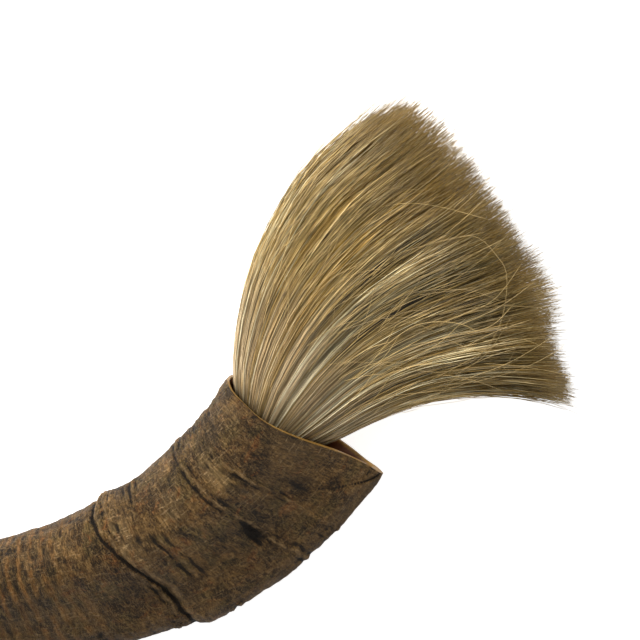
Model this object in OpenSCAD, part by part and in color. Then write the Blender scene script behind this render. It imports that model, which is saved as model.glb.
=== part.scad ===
// Calligraphy brush: a dressed tuft of animal hair, bound and glued into the mouth of a hollow, curved
// goat horn that serves as the handle. Lengths are millimetres and angles are degrees.
//
// The brush lies on its side on the plane z = 0. The origin is on that plane, straight below the centre
// of the horn's mouth. The horn curves away towards -X, and the tuft fans out towards +X and +Y.

/* [Horn] */
// Length of the horn along its spine, from the mouth to the blunt point
horn_length = 250; // [230:1:258]
// Width of the mouth, from the keel to the round back edge
mouth_width = 60; // [58:1:64]
// Greatest thickness of the mouth
mouth_thickness = 37; // [36:0.5:40]
// Spine length at which the width would reach zero, if the point weren't blunt
taper_length = 280; // [275:1:300]
// Exponent of the taper: below 1 the horn stays thick for longer
taper_power = 0.8; // [0.7:0.05:0.9]
// Thickness over width at the point, where the horn is nearly round
tip_roundness = 0.9; // [0.7:0.05:1]
// Radius of the spine on the thick part of the horn
base_bend_radius = 143; // [135:1:160]
// Spine length that bends to that radius
base_bend_length = 130; // [100:1:150]
// Radius of the spine from there to the point
tip_bend_radius = 260; // [200:5:400]
// Extra width on the keel side, a little behind the mouth
keel_swell = 4; // [0:0.5:5]
// Wall thickness at the rim of the mouth
rim_wall = 1.1; // [0.9:0.1:1.3]
// Growth of the wall for each millimetre of depth
wall_growth = 0.022; // [0.01:0.001:0.025]
// Depth of the hollow behind the mouth
hollow_depth = 150; // [100:5:160]

/* [Mouth] */
// Direction in which the horn leaves the mouth, measured down from -X
mouth_heading = 54; // [50:1:58]
// Lean of the mouth's cut face upwards
mouth_lean = 16; // [8:1:18]
// Turn of the mouth's cut face, seen from above
mouth_skew = 4; // [0:1:6]

/* [Tuft] */
// Half the tuft's width as it leaves the mouth
tuft_half_width = 20; // [18:0.5:20]
// Half the tuft's depth as it leaves the mouth
tuft_half_depth = 13.5; // [12.5:0.5:14]
// Half the tuft's depth at the tips
tip_half_depth = 31; // [26:1:32]
// Rise of the tuft's middle from the mouth to the tips
tuft_rise = 14; // [13:1:18]
// Share of the tuft's radius taken by the stiff core hair
core_share = 0.6; // [0.5:0.05:0.65]
// Share of the tuft's radius taken by the core and the belly hair
belly_share = 0.84; // [0.75:0.01:0.88]
// Radius at which the free tuft parts from the held root, about the bending axis
hinge_radius = 27; // [26:0.5:28]
// Gap between the held root and the free tuft
hinge_gap = 0.5; // [0.3:0.1:1]

/* [Root] */
// Radius of the bound root
root_radius = 11.5; // [10:0.5:11.5]
// Depth behind the mouth at which the binding starts
binding_start = 12; // [10:1:14]
// Depth behind the mouth at which the hair ends
root_end = 30; // [26:1:30]
// Thickness of the thread round the coat hair
coat_thread = 1; // [0.6:0.1:1]
// Thickness of the thread round the core hair
core_thread = 0.8; // [0.5:0.1:0.8]
// Turns of thread round the core hair
core_turns = 11; // [6:1:13]
// Thickness of the rosin seal on the root's end
seal_thickness = 3; // [2:0.5:4]
// Spine length at which the glue bed starts
glue_start = 15; // [15:5:20]
// Spine length at which the glue bed ends
glue_end = 40; // [40:5:45]

/* [Quality] */
// Points round a section of the horn
horn_sides = 40; // [24:2:48]
// Rings along the outside of the horn
horn_rings = 62; // [40:1:70]
// Points round a layer of hair
hair_sides = 32; // [28:2:36]
// Rings along the free tuft
tuft_rings = 12; // [8:1:16]

/* [Hidden] */

clearance = 0.05;           // between glued or bound pieces, so that their facets never cross
ring_step = 5;              // between the rings of the hollow
root_rings = 7;
round_sides = 96;           // sides of the true cylinders
deg = 180 / PI;

// Growth rings: each is [spine length, height, width] of a low swelling
growth_rings = [
    [3, 0.3, 5], [20, 0.3, 5], [36, 0.3, 6], [61, 1.1, 7], [86, 0.4, 7], [104, 0.4, 6], [128, 0.4, 7]
];
// The deep groove behind the largest ring: [spine length, depth, width]
growth_groove = [70, 0.9, 3];

// --- The horn's spine: two tangent arcs in plan, with headings measured down from -X ---

function heading(s) =
    s < base_bend_length
    ? mouth_heading - deg * s / base_bend_radius
    : mouth_heading
        - deg * base_bend_length / base_bend_radius
        - deg * (s - base_bend_length) / tip_bend_radius;

function arc_from(start, a0, a1, radius) = start + radius * [sin(a1) - sin(a0), cos(a0) - cos(a1)];

function spine(s) =
    s < base_bend_length
    ? arc_from([0, 0], mouth_heading, heading(s), base_bend_radius)
    : arc_from(
        spine(base_bend_length - 0.001), heading(base_bend_length), heading(s), tip_bend_radius
    );

function towards_point(s) = [-cos(heading(s)), -sin(heading(s)), 0];
function towards_back(s) = [-sin(heading(s)), cos(heading(s)), 0];

// --- The horn's section: a round back and a narrow keel ---

function bell(x) = exp(-x * x);
function total(values, i = 0) = i == len(values) ? 0 : values[i] + total(values, i + 1);

function ring_height(s) =
    total([for (g = growth_rings) g[1] * bell((s - g[0]) / g[2])])
    - growth_groove[1] * bell((s - growth_groove[0]) / growth_groove[2]);

tip_radius = mouth_width / 2 * pow(1 - horn_length / taper_length, taper_power);
function tip_rounding(s) =
    let (past = max(0, s - (horn_length - tip_radius)) / tip_radius)
    sqrt(max(0.0004, 1 - past * past));

function half_width(s) =
    (mouth_width / 2 * pow(1 - s / taper_length, taper_power) + ring_height(s)) * tip_rounding(s);

function roundness(s) =
    let (base = mouth_thickness / mouth_width)
    base + (tip_roundness - base) * s / horn_length;

function half_height(s) = half_width(s) * roundness(s);

// The keel side stands out further than the round back, most of all at the keel's swelling
keel_swell_place = 45;
keel_swell_spread = 35;
function swell(s) = keel_swell * bell((s - keel_swell_place) / keel_swell_spread);
function wall(s) = rim_wall + wall_growth * s;

// Half thickness, from 0 to 1, at a share f of the width: 0 is the back edge and 1 is the keel.
// The back is part of an ellipse, a cosine flank falls from it, and a narrow keel takes the rest.
fat_place = 0.36;
keel_share = 0.25;
flank_end = 0.75;

function keeled(f) =
    let (g = max(0, (f - fat_place) / (1 - fat_place)))
    f < fat_place
    ? sqrt(max(0, 1 - pow((f - fat_place) / fat_place, 2)))
    : (1 - keel_share) * (0.5 + 0.5 * cos(180 * min(1, g / flank_end)))
      + keel_share * sqrt(max(0, 1 - pow(g, 4)));

function half_thickness(f, s) =
    let (roundish = 0.75 * s / horn_length)
    (1 - roundish) * keeled(f) + roundish * sqrt(max(0, 1 - pow(2 * f - 1, 2)));

// A point of the section at s: across is measured towards the round back, up from the section's middle.
// The cut face leans and is skewed, and every growth ring follows it.
function place_on_horn(s, across, up) =
    let (c = spine(s))
    [c[0], c[1], half_height(s)]
    + across * towards_back(s) + [0, 0, up]
    + (up * tan(mouth_lean) + across * tan(mouth_skew)) * towards_point(s);

function section(s, width, height, shift) = [
    for (i = [0 : horn_sides - 1])
        let (t = 360 * i / horn_sides, side = sin(t) < 0 ? -1 : 1)
        place_on_horn(s, shift + width * cos(t), side * height * half_thickness((1 - cos(t)) / 2, s))
];

function outer_section(s) = section(s, half_width(s) + swell(s) / 2, half_height(s), -swell(s) / 2);

// The keel is nearly solid, so the hollow's section is narrower and nearer the back
keel_walls = 2.5;
function inner_section(s, shrink = 0) =
    let (w = wall(s) + shrink)
    section(s, half_width(s) + swell(s) / 2 - keel_walls * w, half_height(s) - w,
            (keel_walls - 1) * w - swell(s) / 2);

// --- A skin over rings of points, capped at both ends or closed into a loop ---

function middle_of(ring) = [for (axis = [0 : 2]) total([for (p = ring) p[axis]]) / len(ring)];

module skin(rings, loop = false) {
    n = len(rings[0]);
    count = len(rings);
    last = loop ? count - 1 : count - 2;
    end = (count - 1) * n;
    // The inner half of a loop splits its faces along the other diagonal, so that it fits the layer inside it
    sides = [
        for (r = [0 : last], i = [0 : n - 1])
            let (a = r * n, b = (r + 1) % count * n, j = (i + 1) % n)
            each loop && r >= count / 2
                ? [[a + i, a + j, b + i], [a + j, b + j, b + i]]
                : [[a + i, b + j, b + i], [a + i, a + j, b + j]]
    ];
    caps = loop ? [] : [
        for (i = [0 : n - 1])
            let (j = (i + 1) % n)
            each [[j, i, count * n], [end + i, end + j, count * n + 1]]
    ];
    middles = loop ? [] : [middle_of(rings[0]), middle_of(rings[count - 1])];
    polyhedron(
        points = concat([for (ring = rings) each ring], middles), faces = concat(sides, caps), convexity = 8
    );
}

// --- Streamlines of the hair ---
// A hair is named by its place in the tuft's section: q from -1 at the round back to 1 at the keel side,
// and r from -1 underneath to 1 on top. t runs along it, from 0 at the mouth to 1 at the tip.

root_heading = mouth_heading + mouth_skew;
root_axis = [cos(root_heading), sin(root_heading)];
across_tuft = [root_axis[1], -root_axis[0]];
tuft_centre = -(0.5 - fat_place) * mouth_width * across_tuft;
mouth_middle = half_height(0);

function fan_start(q) = 59.5 - 33.5 * q;
function fan_end(q) = 30 - 23 * q - 11 * q * q;
function tip_place(q) = [69 + 26.5 * q - 8.5 * q * q, 63 - 52.5 * q - 2.5 * q * q];
function along(angle, reach) = reach * [cos(angle), sin(angle)];

function plan_of_hair(q, t) =
    let (a = tuft_centre + q * tuft_half_width * across_tuft, d = tip_place(q),
         b = a + along(fan_start(q), 43 - 13 * q), c = d - along(fan_end(q), 32.5 - 2.5 * q), u = 1 - t)
    u * u * u * a + 3 * u * u * t * b + 3 * u * t * t * c + t * t * t * d;

function depth_of_hair(t) = tuft_half_depth + (tip_half_depth - tuft_half_depth) * t * (1.6 - 0.6 * t);

function free_hair(q, r, t) =
    let (p = plan_of_hair(q, t))
    [p[0], p[1], mouth_middle + tuft_rise * t + r * depth_of_hair(t)];

// The tips form a low dome, and the outermost hairs of the back edge are the shortest
function full_length(q, r) = 1 - 0.08 * r * r - 0.15 * pow(min(1, q * q + r * r), 4) * (1 - q) / 2;

// Behind the mouth the hair draws in to the bound root
function root_spread(depth) = pow(max(0, 1 - depth / binding_start), 1.2);
function root_point(q, r, depth, shrink) =
    let (spread = root_spread(depth),
         wide = root_radius + (tuft_half_width - root_radius) * spread,
         deep = root_radius + (tuft_half_depth - root_radius) * spread,
         p = tuft_centre - depth * root_axis + q * wide * across_tuft,
         pull = 1 - shrink / max(0.1, norm([q * wide, r * deep])),
         middle = tuft_centre - depth * root_axis)
    [middle[0] + (p[0] - middle[0]) * pull, middle[1] + (p[1] - middle[1]) * pull,
     mouth_middle + r * deep * pull];

// Where a hair crosses a cylinder of the given radius about the bending axis, by halving
function crossing(q, radius, low = 0, high = 0.6, steps = 14) =
    let (t = (low + high) / 2)
    steps == 0 ? t
    : norm(plan_of_hair(q, t) - tuft_centre) < radius
        ? crossing(q, radius, t, high, steps - 1)
        : crossing(q, radius, low, t, steps - 1);

function around(share) = [
    for (i = [0 : hair_sides - 1]) let (a = 360 * i / hair_sides) share * [cos(a), sin(a)]
];

// The ring where the hairs at one share of the radius cross the cylinder, and the ring of their tips
function crossing_ring(share, radius) = [
    for (h = around(share)) free_hair(h[0], h[1], crossing(h[0], radius))
];
function tip_ring(share) = [for (h = around(share)) free_hair(h[0], h[1], full_length(h[0], h[1]))];

// One layer's rings over the free tuft, from the bending gap to the tips
function free_rings(share) = [
    for (k = [0 : tuft_rings])
        [for (h = around(share))
            let (t0 = crossing(h[0], hinge_radius + hinge_gap))
            free_hair(h[0], h[1], t0 + (full_length(h[0], h[1]) - t0) * k / tuft_rings)]
];

// Shares of the radius, from the middle outwards, at which the core's end faces have rings
core_face = [for (k = [0.04, 0.25, 0.5, 0.75]) k * core_share];

// One layer's rings over the held root: from the root's end to the mouth, then up to the bending gap.
// A band of the root from band_from to band_to is drawn in by waist, where a thread sinks into it.
function root_rings_of(share, waist = 0, band_from = 0, band_to = 0) = concat(
    [for (depth = waist > 0 ? [root_end, band_to, band_to - 0.01, band_from + 0.01, band_from, binding_start]
                            : [root_end, binding_start])
        let (drawn = depth > band_from && depth < band_to ? waist : 0)
        [for (h = around(share)) root_point(h[0], h[1], depth, drawn)]],
    [for (k = [1 : 4]) [for (h = around(share)) root_point(h[0], h[1], binding_start * (1 - k / 4), 0)]],
    [for (k = [1 : root_rings])
        [for (h = around(share)) free_hair(h[0], h[1], crossing(h[0], hinge_radius) * k / root_rings)]]
);

function reversed(list) = [for (i = [len(list) - 1 : -1 : 0]) list[i]];

// --- Placing round things on the root's axis: z runs back into the horn from the mouth ---

module on_root_axis() {
    translate([tuft_centre[0], tuft_centre[1], mouth_middle])
        rotate([0, 90, atan2(-root_axis[1], -root_axis[0])])
            children();
}

// A close winding of thread, as one solid with a crest for each turn
module winding(radius, thread, from, turns) {
    pitch = 0.9 * thread;
    on_root_axis()
        translate([0, 0, from + thread / 2])
            rotate_extrude($fn = round_sides)
                for (i = [0 : turns - 1])
                    translate([radius + thread / 2, i * pitch])
                        circle(d = thread, $fn = 24);
}

// --- The pieces ---

core_root_radius = core_share * root_radius;
core_band_to = root_end - 2;
core_band_from = core_band_to - (core_turns - 1) * 0.9 * core_thread - core_thread - 0.2;
coat_turns = floor((root_end - binding_start - coat_thread) / (0.9 * coat_thread));

module horn_handle() {
    hollow = [0 : ring_step : hollow_depth];
    outside = [for (k = [0 : horn_rings]) (horn_length - tip_radius) * k / horn_rings];
    point = [for (k = [1 : 5]) horn_length - tip_radius * (1 - sin(90 * k / 5))];
    color("#5a4932")
        skin(concat(
            [section(hollow_depth + 3, 1, 1, 0)],
            reversed([for (s = hollow) inner_section(s)]),
            [for (s = concat(outside, point)) outer_section(s)]
        ));
}

module glue_bed() {
    color("#2e2114")
        difference() {
            skin([for (s = [glue_start : ring_step : glue_end]) inner_section(s, clearance)]);
            on_root_axis()
                cylinder(r = root_radius + coat_thread + clearance,
                         h = root_end + seal_thickness + clearance, $fn = round_sides);
        }
}

module root_seal() {
    color("#3a2412")
        on_root_axis()
            translate([0, 0, root_end + clearance])
                cylinder(r = root_radius, h = seal_thickness - clearance, $fn = round_sides);
}

module core_binding() {
    color("#cdbf9f")
        winding(core_root_radius - core_thread, core_thread - clearance,
                core_band_from + 0.1, core_turns);
}

module coat_binding() {
    color("#b9a883")
        winding(root_radius + clearance / 2, coat_thread - clearance, binding_start + 0.2, coat_turns);
}

module core_hair_root() {
    color("#a08c66")
        skin(concat(
            root_rings_of(core_share, core_thread + clearance, core_band_from, core_band_to),
            reversed([for (share = core_face) crossing_ring(share, hinge_radius)])
        ));
}

module hair_sleeve_root(outer, inner) {
    skin(concat(root_rings_of(outer), reversed(root_rings_of(inner))), loop = true);
}

module belly_hair_root() {
    color("#94794c") hair_sleeve_root(belly_share, core_share);
}

module coat_hair_root() {
    color("#a88f60") hair_sleeve_root(1, belly_share);
}

module core_hair() {
    color("#8d8064")
        skin(concat(
            [for (share = core_face) crossing_ring(share, hinge_radius + hinge_gap)],
            free_rings(core_share),
            reversed([for (share = core_face) tip_ring(share)])
        ));
}

module hair_sleeve(outer, inner) {
    skin(concat(free_rings(outer), reversed(free_rings(inner))), loop = true);
}

module belly_hair() {
    color("#94794c") hair_sleeve(belly_share, core_share);
}

module coat_hair() {
    color("#b39b6d") hair_sleeve(1, belly_share);
}

horn_handle();
glue_bed();
root_seal();
core_binding();
coat_binding();
core_hair_root();
belly_hair_root();
coat_hair_root();
core_hair();
belly_hair();
coat_hair();
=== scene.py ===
# %% [markdown]
# # A calligraphy brush with a horn handle
#
# The brush is a bundle of animal hair glued into the mouth of a goat's horn. It lies on its side.
# The frame that is loaded here holds the worked-out sizes and the one joint, at the horn's mouth,
# where the tuft bends. This lesson builds the looks round it: the horn first, then the things hidden
# in its mouth, then thousands of separate hairs. Lengths are millimetres until the mesh is made.

import bpy
import numpy as np
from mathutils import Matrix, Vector


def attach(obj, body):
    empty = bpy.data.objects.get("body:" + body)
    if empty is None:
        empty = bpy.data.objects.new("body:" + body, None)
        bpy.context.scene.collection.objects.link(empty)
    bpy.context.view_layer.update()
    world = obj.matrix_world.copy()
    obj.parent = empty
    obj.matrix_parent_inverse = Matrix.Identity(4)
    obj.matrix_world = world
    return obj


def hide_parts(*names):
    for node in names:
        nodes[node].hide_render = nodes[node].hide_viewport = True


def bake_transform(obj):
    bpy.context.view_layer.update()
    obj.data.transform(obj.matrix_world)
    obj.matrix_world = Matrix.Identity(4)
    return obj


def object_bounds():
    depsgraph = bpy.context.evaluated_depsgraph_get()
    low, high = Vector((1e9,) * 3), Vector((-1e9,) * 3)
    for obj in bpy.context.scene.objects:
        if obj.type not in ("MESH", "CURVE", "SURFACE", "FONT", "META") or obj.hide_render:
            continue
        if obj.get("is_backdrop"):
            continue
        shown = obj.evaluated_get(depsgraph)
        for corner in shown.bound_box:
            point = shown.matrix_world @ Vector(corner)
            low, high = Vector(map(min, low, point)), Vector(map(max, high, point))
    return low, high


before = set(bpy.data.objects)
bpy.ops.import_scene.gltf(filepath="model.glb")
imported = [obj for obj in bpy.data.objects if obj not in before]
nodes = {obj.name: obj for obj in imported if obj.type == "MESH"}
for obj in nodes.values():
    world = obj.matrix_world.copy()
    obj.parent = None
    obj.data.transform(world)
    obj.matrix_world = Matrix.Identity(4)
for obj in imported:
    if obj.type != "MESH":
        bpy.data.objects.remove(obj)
cad_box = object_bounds()
MM = 0.001
rng = np.random.default_rng(21)
print("frame box in mm:", [[round(c / MM) for c in corner] for corner in cad_box])

# %% [markdown]
# ## Camera, light and table
#
# The brush is seen from straight above, from far away, so that near and far parts keep nearly the
# same scale. The light is plain and soft. One broad lamp above the upper left gives the horn's rings and
# the hair their relief. A weak lamp on the right and the pale surroundings fill the shadows. The
# table is a large pale plane.

# %% Camera
VIEW_CENTRE = Vector((5.1, 34.8, 20.0)) * MM
VIEW_WIDTH = 213.3 * MM  # the width that the camera takes in at the height of the horn's middle
CAMERA_HEIGHT = 1.3

camera_data = bpy.data.cameras.new("camera")
camera_data.sensor_width = 36.0
camera_data.lens = camera_data.sensor_width * CAMERA_HEIGHT / VIEW_WIDTH
camera = bpy.data.objects.new("camera", camera_data)
camera.location = VIEW_CENTRE + Vector((0, 0, CAMERA_HEIGHT))
bpy.context.scene.collection.objects.link(camera)
bpy.context.scene.camera = camera
print(f"lens {camera_data.lens:.0f} mm at {CAMERA_HEIGHT} m")


# %% Light
def soft_lamp(name, place, size, power, colour):
    """A square lamp that faces the middle of the view."""
    data = bpy.data.lights.new(name, "AREA")
    data.size, data.energy, data.color = size, power, colour
    lamp = bpy.data.objects.new(name, data)
    lamp.location = place
    lamp.rotation_euler = (VIEW_CENTRE - Vector(place)).to_track_quat("-Z", "Y").to_euler()
    bpy.context.scene.collection.objects.link(lamp)


soft_lamp("key", (-0.75, 0.85, 0.75), 0.6, 25.0, (1.0, 0.98, 0.95))
soft_lamp("fill", (1.2, 0.15, 0.4), 0.5, 4.0, (0.97, 0.98, 1.0))
world = bpy.data.worlds.new("room")
world.use_nodes = True
world.node_tree.nodes["Background"].inputs["Color"].default_value = (1.0, 1.0, 1.0, 1)
world.node_tree.nodes["Background"].inputs["Strength"].default_value = 0.45
bpy.context.scene.world = world
bpy.context.scene.view_settings.view_transform = "Standard"


# %% Shorthand for materials
def new_material(name):
    """A new material: returns it, its node tree and its shader."""
    material = bpy.data.materials.new(name)
    material.use_nodes = True
    tree = material.node_tree
    return material, tree, tree.nodes["Principled BSDF"]


def add(tree, kind, **inputs):
    """A node of this kind. Names with a capital set its sockets, and the others its own settings."""
    node = tree.nodes.new(kind)
    for key, value in inputs.items():
        name = key.replace("_", " ")
        if key[0].isupper():
            if isinstance(value, bpy.types.NodeSocket):
                tree.links.new(value, node.inputs[name])
            else:
                node.inputs[name].default_value = value
        else:
            setattr(node, key, value)
    return node


def mix(tree, factor, first, second, blend="MIX"):
    """Mixes two colours by a factor. Each may be a socket or a plain value."""
    node = tree.nodes.new("ShaderNodeMix")
    node.data_type, node.blend_type = "RGBA", blend
    for place, value in ((0, factor), (6, first), (7, second)):
        if isinstance(value, bpy.types.NodeSocket):
            tree.links.new(value, node.inputs[place])
        else:
            node.inputs[place].default_value = value
    return node.outputs[2]


def ramp(tree, factor, low, high):
    """Takes a value smoothly from 0 at low to 1 at high."""
    node = add(tree, "ShaderNodeMapRange", Value=factor)
    node.interpolation_type = "SMOOTHSTEP"
    node.inputs["From Min"].default_value = low
    node.inputs["From Max"].default_value = high
    return node.outputs["Result"]


def maths(tree, operation, first, second=0.0):
    """One step of arithmetic on sockets or plain numbers."""
    node = tree.nodes.new("ShaderNodeMath")
    node.operation = operation
    for place, value in enumerate((first, second)):
        if isinstance(value, bpy.types.NodeSocket):
            tree.links.new(value, node.inputs[place])
        else:
            node.inputs[place].default_value = value
    return node.outputs[0]


def rgb(hex_colour):
    """A web colour as linear light, with full alpha."""
    parts = [int(hex_colour[i : i + 2], 16) / 255 for i in (1, 3, 5)]
    linear = [c / 12.92 if c <= 0.04045 else ((c + 0.055) / 1.055) ** 2.4 for c in parts]
    return (*linear, 1.0)


# %% Table
TABLE_SIZE = 6.0
floor_mesh = bpy.data.meshes.new("table")
half = TABLE_SIZE / 2
corners = [(-half, -half, 0), (half, -half, 0), (half, half, 0), (-half, half, 0)]
floor_mesh.from_pydata(corners, [], [(0, 1, 2, 3)])
floor = bpy.data.objects.new("table", floor_mesh)
bpy.context.scene.collection.objects.link(floor)
floor_material, tree, shader = new_material("pale_table")
shader.inputs["Roughness"].default_value = 0.9
speckle = add(tree, "ShaderNodeTexNoise", Scale=40.0, Detail=4.0)
tree.links.new(mix(tree, speckle.outputs["Fac"], rgb("#fbfaf8"), rgb("#ffffff")), shader.inputs["Base Color"])
shader.inputs["Emission Color"].default_value = (1.0, 1.0, 1.0, 1.0)
shader.inputs["Emission Strength"].default_value = 0.7  # a glowing table keeps the shadows faint
floor_mesh.materials.append(floor_material)
floor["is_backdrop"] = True

# %% [markdown]
# ## The horn's form
#
# A goat's horn is a hollow cone, bent along a curve, round at the back and keeled in front. It could
# be sculpted by hand, or swept along a drawn curve with one outline. Here a grid of points is worked
# out instead: how far along the horn, and how far round it. The same two numbers place every growth
# ring, crack and scratch, so relief and colour stay in step with each other.

# %% The horn's spine, as two arcs
HORN_LENGTH = 250.0
MOUTH_WIDTH, MOUTH_THICKNESS = 60.0, 37.0
TAPER_LENGTH, TAPER_POWER = 280.0, 0.8
TIP_ROUNDNESS = 0.9
BASE_BEND_RADIUS, BASE_BEND_LENGTH, TIP_BEND_RADIUS = 143.0, 130.0, 260.0
MOUTH_HEADING, MOUTH_LEAN, MOUTH_SKEW = np.radians(54), np.radians(16), np.radians(4)


def heading(s):
    """The direction of the spine at a length s from the mouth, in radians down from -X."""
    base = np.minimum(s, BASE_BEND_LENGTH) / BASE_BEND_RADIUS
    tip = np.maximum(s - BASE_BEND_LENGTH, 0) / TIP_BEND_RADIUS
    return MOUTH_HEADING - base - tip


def arc(start, a0, a1, radius):
    return start[0] + radius * (np.sin(a1) - np.sin(a0)), start[1] + radius * (np.cos(a0) - np.cos(a1))


def spine(s):
    """The place of the spine in plan."""
    bend = arc((0, 0), MOUTH_HEADING, heading(np.minimum(s, BASE_BEND_LENGTH)), BASE_BEND_RADIUS)
    turn = heading(BASE_BEND_LENGTH)
    return arc(bend, turn, np.where(s > BASE_BEND_LENGTH, heading(s), turn), TIP_BEND_RADIUS)


# %% The horn's width and section
FAT_PLACE = 0.36  # where the section is thickest, from the back edge
KEEL_SHARE = 0.25  # how much of the thickness runs out into the narrow keel
FLANK_END = 0.75
KEEL_SWELL, SWELL_PLACE, SWELL_SPREAD = 4.0, 45.0, 35.0
TIP_RADIUS = MOUTH_WIDTH / 2 * (1 - HORN_LENGTH / TAPER_LENGTH) ** TAPER_POWER


def bell(x):
    return np.exp(-x * x)


def plain_half_width(s):
    past = np.clip((s - (HORN_LENGTH - TIP_RADIUS)) / TIP_RADIUS, 0, 1)
    taper = MOUTH_WIDTH / 2 * (1 - s / TAPER_LENGTH) ** TAPER_POWER
    return taper * np.sqrt(np.maximum(0.0004, 1 - past * past))


def swell(s):
    return KEEL_SWELL * bell((s - SWELL_PLACE) / SWELL_SPREAD)


def roundness(s):
    base = MOUTH_THICKNESS / MOUTH_WIDTH
    return base + (TIP_ROUNDNESS - base) * s / HORN_LENGTH


def half_thickness(f, s):
    """From 0 to 1: the section's half thickness at a share f of its width, from the round back."""
    g = np.maximum(0, (f - FAT_PLACE) / (1 - FAT_PLACE))
    back = np.sqrt(np.maximum(0, 1 - ((f - FAT_PLACE) / FAT_PLACE) ** 2))
    flank = (1 - KEEL_SHARE) * (0.5 + 0.5 * np.cos(np.pi * np.minimum(1, g / FLANK_END)))
    keel = KEEL_SHARE * np.sqrt(np.maximum(0, 1 - g**4))
    keeled = np.where(f < FAT_PLACE, back, flank + keel)
    roundish = 0.75 * s / HORN_LENGTH
    return (1 - roundish) * keeled + roundish * np.sqrt(np.maximum(0, 1 - (2 * f - 1) ** 2))


def on_horn(s, across, up):
    """A point in space: across is towards the round back, and up is from the section's middle."""
    x, y = spine(s)
    angle = heading(s)
    lean = up * np.tan(MOUTH_LEAN) + across * np.tan(MOUTH_SKEW)
    x = x - across * np.sin(angle) - lean * np.cos(angle)
    y = y + across * np.cos(angle) - lean * np.sin(angle)
    return np.stack([x, y, plain_half_width(s) * roundness(s) + up], -1)


print(f"horn: {HORN_LENGTH} mm along its spine, point radius {TIP_RADIUS:.1f} mm")


# %% Smooth random numbers on a grid
def blurred(shape, along, around, seed):
    """Noise from about -1 to 1 whose features are so many rows long and so many columns wide."""
    noise = np.random.default_rng(seed).standard_normal(shape)
    rows = np.fft.fftfreq(shape[0])[:, None] * along
    columns = np.fft.fftfreq(shape[1])[None, :] * around
    soft = np.real(np.fft.ifft2(np.fft.fft2(noise) * np.exp(-3.0 * (rows**2 + columns**2))))
    return soft / (2 * soft.std())


# %% [markdown]
# ## Relief on the horn
#
# A horn grows at its base, so every lean winter leaves a ring. On this one there are broad swellings,
# one big step with a groove behind it, bands of fine wrinkles, a few checks that run along the grain
# and a few pits. They could be a bump map, but the edge of the horn shows its outline and so they are
# moved points. Only the finest wrinkles are left to the material.

# %% Rings, step, wrinkles, checks and pits
ROWS, COLUMNS, POINT_ROWS = 420, 176, 12
s_outer = np.linspace(0, HORN_LENGTH - TIP_RADIUS, ROWS - POINT_ROWS)
round_the_point = np.sin(np.radians(90) * np.arange(1, POINT_ROWS + 1) / POINT_ROWS)
s_outer = np.concatenate([s_outer, HORN_LENGTH - TIP_RADIUS * (1 - round_the_point)])
turns = np.linspace(0, 2 * np.pi, COLUMNS, endpoint=False)
S, T = np.meshgrid(s_outer, turns, indexing="ij")
F = (1 - np.cos(T)) / 2  # the same share of the width as above: 0 at the back edge, 1 at the keel


def step_place(f):
    """How far along the big step is, as it wanders round the horn."""
    return 75.8 - 9 * (1 - bell((f - 0.13) / 0.35))


def ring_place(f):
    """How far along the sharp double ring is."""
    return 34.0 - 6 * (f - 0.28) ** 2


def sharp_ring(s, place, height, width):
    """A ridge with a groove on each side, as a cut growth ring has."""
    x = (s - place) / width
    return height * (bell(x) - 0.9 * bell(x - 1.9) - 0.6 * bell(x + 1.9))


# Each swelling and each ring is (length along the horn, height, width)
swellings = [
    (3, 0.3, 5), (20, 0.3, 5), (36, 0.3, 6), (86, 0.4, 7),
    (104, 0.4, 6), (128, 0.4, 7), (152, 0.4, 8), (176, 0.3, 7),
]
relief = sum(height * bell((S - place) / width) for place, height, width in swellings)
meander = 1.3 * blurred(S.shape, 60, 22, 3) + 0.5 * blurred(S.shape, 9, 4, 9)
x = S - step_place(F) - 0.5 * meander
shoulder = 1.9 * (1 - np.exp(-np.abs(x) / 1.6)) * bell(x / 10)
lip = 0.5 * (1 - np.exp(-np.abs(x) / 0.7)) * bell(x / 7)
relief += np.where(x < 0, shoulder, lip) - 0.55 * bell(x / 0.7)
# No ring is equally sharp all the way round
fading = np.clip(0.45 + 0.60 * blurred(S.shape, 22, 9, 4), 0.0, 1.5)
relief += sharp_ring(S, ring_place(F) + 0.6 * meander, 0.45, 0.8) * np.clip(fading + 0.25, 0, 1.2)
near_rings = bell((S - ring_place(F) - 0.6 * meander) / 2.4) + 0.8 * bell((x - 1) / 3.5)
minor_rings = [
    (21.5, 0.34, 0.6), (25.0, 0.2, 0.5), (56.5, 0.38, 0.8),
    (59.5, 0.25, 0.6), (69.5, 0.45, 0.8), (72.0, 0.3, 0.5),
]
minor_rings += [(place, 0.16, 0.9) for place in range(92, 220, 9)]
for place, height, width in minor_rings:
    wandering = place + meander - 4 * (F - 0.2) ** 2
    relief += sharp_ring(S, wandering, height, width) * fading
    near_rings = near_rings + 2 * height * bell((S - wandering) / 2.0)
relief += 0.22 * blurred(S.shape, 1.4, 1.3, 18) * np.clip(near_rings, 0.15, 1)  # rings weather to crumbs
relief += 0.38 * blurred(S.shape, 26, 16, 5) + 0.20 * blurred(S.shape, 9, 6, 6)
wrinkles = blurred(S.shape, 2.2, 7, 7) + 0.7 * blurred(S.shape, 1.6, 3, 8)
relief += 0.16 * wrinkles * np.clip(0.8 + 0.5 * blurred(S.shape, 40, 20, 12), 0.2, 1.6)


def check(s, t, start, end, width, depth):
    """A crack that runs from one (length, turn) place to another and closes at both ends."""
    along = np.clip((s - start[0]) / (end[0] - start[0]), 0, 1)
    middle = start[1] + (end[1] - start[1]) * along + 0.02 * np.sin(9 * along)
    past = np.maximum(0, np.maximum(start[0] - s, s - end[0]))
    return -depth * bell((t - middle) / width) * bell(past / 0.8) * (1 - 0.6 * along)


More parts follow.
